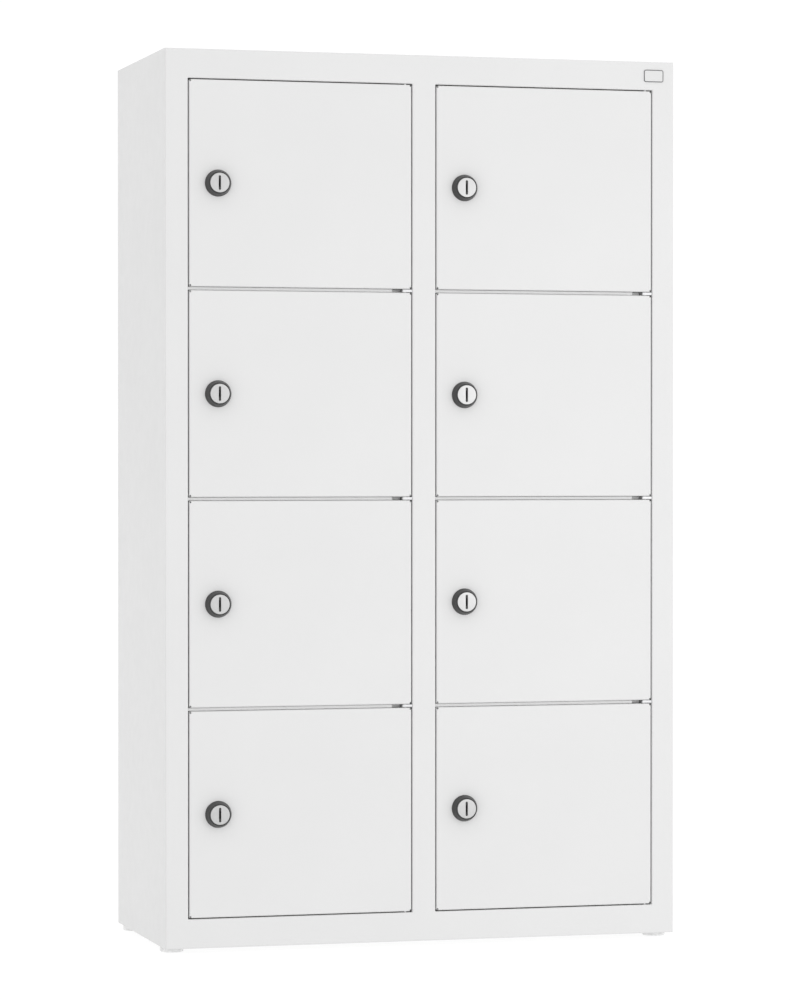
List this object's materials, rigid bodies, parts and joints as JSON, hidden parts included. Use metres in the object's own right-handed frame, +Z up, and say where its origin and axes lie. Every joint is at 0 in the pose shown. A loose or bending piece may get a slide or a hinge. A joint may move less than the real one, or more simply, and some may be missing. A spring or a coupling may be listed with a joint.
{
  "type": "parcel locker",
  "caption": "White steel compartment locker with equal columns of small hinged doors, each with a round cam lock, on low round feet.",
  "frame": {"origin": "on the floor, in the middle of the overall width and depth; the overall depth includes the lock faces", "axes": "+Z up, -Y out of the doors, +X to the right as one faces the doors; doors hinge on their +X edges"},
  "size_m": [0.51, 0.2352, 0.86],
  "materials": {
    "cabinet_coat": "satin white powder coat",
    "door_coat": "satin white powder coat",
    "rosette_plastic": "satin black moulding",
    "plug_metal": "bright nickel plating",
    "zinc_steel": "zinc plated steel",
    "foot_plastic": "pale grey moulding",
    "label_plate": "plain pale grey plate"
  },
  "bodies": {
    "cabinet": {"front_frame": "cabinet_coat", "left_side_panel": "cabinet_coat", "right_side_panel": "cabinet_coat", "top_panel": "cabinet_coat", "bottom_panel": "cabinet_coat", "rear_panel": "cabinet_coat", "centre_partition": "cabinet_coat", "label_plate": "label_plate", "foot_front_left": "foot_plastic", "foot_front_right": "foot_plastic", "foot_rear_left": "foot_plastic", "foot_rear_right": "foot_plastic", "shelf_left_1_2": "cabinet_coat", "hinge_bracket_left_1_2": "zinc_steel", "shelf_left_2_3": "cabinet_coat", "hinge_bracket_left_2_3": "zinc_steel", "shelf_left_3_4": "cabinet_coat", "hinge_bracket_left_3_4": "zinc_steel", "shelf_right_1_2": "cabinet_coat", "hinge_bracket_right_1_2": "zinc_steel", "shelf_right_2_3": "cabinet_coat", "hinge_bracket_right_2_3": "zinc_steel", "shelf_right_3_4": "cabinet_coat", "hinge_bracket_right_3_4": "zinc_steel", "hinge_pin_left_top": "zinc_steel", "hinge_pin_left_bottom": "zinc_steel", "hinge_pin_right_top": "zinc_steel", "hinge_pin_right_bottom": "zinc_steel"},
    "door_left_1": {"door_left_1": "door_coat", "lock_housing_left_1": "rosette_plastic"},
    "lock_left_1": {"lock_plug_left_1": "plug_metal", "lock_cam_left_1": "zinc_steel"},
    "door_left_2": {"door_left_2": "door_coat", "lock_housing_left_2": "rosette_plastic"},
    "lock_left_2": {"lock_plug_left_2": "plug_metal", "lock_cam_left_2": "zinc_steel"},
    "door_left_3": {"door_left_3": "door_coat", "lock_housing_left_3": "rosette_plastic"},
    "lock_left_3": {"lock_plug_left_3": "plug_metal", "lock_cam_left_3": "zinc_steel"},
    "door_left_4": {"door_left_4": "door_coat", "lock_housing_left_4": "rosette_plastic"},
    "lock_left_4": {"lock_plug_left_4": "plug_metal", "lock_cam_left_4": "zinc_steel"},
    "door_right_1": {"door_right_1": "door_coat", "lock_housing_right_1": "rosette_plastic"},
    "lock_right_1": {"lock_plug_right_1": "plug_metal", "lock_cam_right_1": "zinc_steel"},
    "door_right_2": {"door_right_2": "door_coat", "lock_housing_right_2": "rosette_plastic"},
    "lock_right_2": {"lock_plug_right_2": "plug_metal", "lock_cam_right_2": "zinc_steel"},
    "door_right_3": {"door_right_3": "door_coat", "lock_housing_right_3": "rosette_plastic"},
    "lock_right_3": {"lock_plug_right_3": "plug_metal", "lock_cam_right_3": "zinc_steel"},
    "door_right_4": {"door_right_4": "door_coat", "lock_housing_right_4": "rosette_plastic"},
    "lock_right_4": {"lock_plug_right_4": "plug_metal", "lock_cam_right_4": "zinc_steel"}
  },
  "joints": [
    {"name": "door_left_1_hinge", "type": "hinge", "parent": "cabinet", "child": "door_left_1", "pos_m": [-0.0181, -0.1054, 0.73269], "axis": [0, 0, 1], "range_deg": [0, 105]},
    {"name": "lock_left_1_turn", "type": "hinge", "parent": "door_left_1", "child": "lock_left_1", "pos_m": [-0.2037, -0.1094, 0.73269], "axis": [0, 1, 0], "range_deg": [0, 90]},
    {"name": "door_left_2_hinge", "type": "hinge", "parent": "cabinet", "child": "door_left_2", "pos_m": [-0.0181, -0.1054, 0.53256], "axis": [0, 0, 1], "range_deg": [0, 105]},
    {"name": "lock_left_2_turn", "type": "hinge", "parent": "door_left_2", "child": "lock_left_2", "pos_m": [-0.2037, -0.1094, 0.53256], "axis": [0, 1, 0], "range_deg": [0, 90]},
    {"name": "door_left_3_hinge", "type": "hinge", "parent": "cabinet", "child": "door_left_3", "pos_m": [-0.0181, -0.1054, 0.33244], "axis": [0, 0, 1], "range_deg": [0, 105]},
    {"name": "lock_left_3_turn", "type": "hinge", "parent": "door_left_3", "child": "lock_left_3", "pos_m": [-0.2037, -0.1094, 0.33244], "axis": [0, 1, 0], "range_deg": [0, 90]},
    {"name": "door_left_4_hinge", "type": "hinge", "parent": "cabinet", "child": "door_left_4", "pos_m": [-0.0181, -0.1054, 0.13231], "axis": [0, 0, 1], "range_deg": [0, 105]},
    {"name": "lock_left_4_turn", "type": "hinge", "parent": "door_left_4", "child": "lock_left_4", "pos_m": [-0.2037, -0.1094, 0.13231], "axis": [0, 1, 0], "range_deg": [0, 90]},
    {"name": "door_right_1_hinge", "type": "hinge", "parent": "cabinet", "child": "door_right_1", "pos_m": [0.2263, -0.1054, 0.73269], "axis": [0, 0, 1], "range_deg": [0, 105]},
    {"name": "lock_right_1_turn", "type": "hinge", "parent": "door_right_1", "child": "lock_right_1", "pos_m": [0.0407, -0.1094, 0.73269], "axis": [0, 1, 0], "range_deg": [0, 90]},
    {"name": "door_right_2_hinge", "type": "hinge", "parent": "cabinet", "child": "door_right_2", "pos_m": [0.2263, -0.1054, 0.53256], "axis": [0, 0, 1], "range_deg": [0, 105]},
    {"name": "lock_right_2_turn", "type": "hinge", "parent": "door_right_2", "child": "lock_right_2", "pos_m": [0.0407, -0.1094, 0.53256], "axis": [0, 1, 0], "range_deg": [0, 90]},
    {"name": "door_right_3_hinge", "type": "hinge", "parent": "cabinet", "child": "door_right_3", "pos_m": [0.2263, -0.1054, 0.33244], "axis": [0, 0, 1], "range_deg": [0, 105]},
    {"name": "lock_right_3_turn", "type": "hinge", "parent": "door_right_3", "child": "lock_right_3", "pos_m": [0.0407, -0.1094, 0.33244], "axis": [0, 1, 0], "range_deg": [0, 90]},
    {"name": "door_right_4_hinge", "type": "hinge", "parent": "cabinet", "child": "door_right_4", "pos_m": [0.2263, -0.1054, 0.13231], "axis": [0, 0, 1], "range_deg": [0, 105]},
    {"name": "lock_right_4_turn", "type": "hinge", "parent": "door_right_4", "child": "lock_right_4", "pos_m": [0.0407, -0.1094, 0.13231], "axis": [0, 1, 0], "range_deg": [0, 90]}
  ]
}
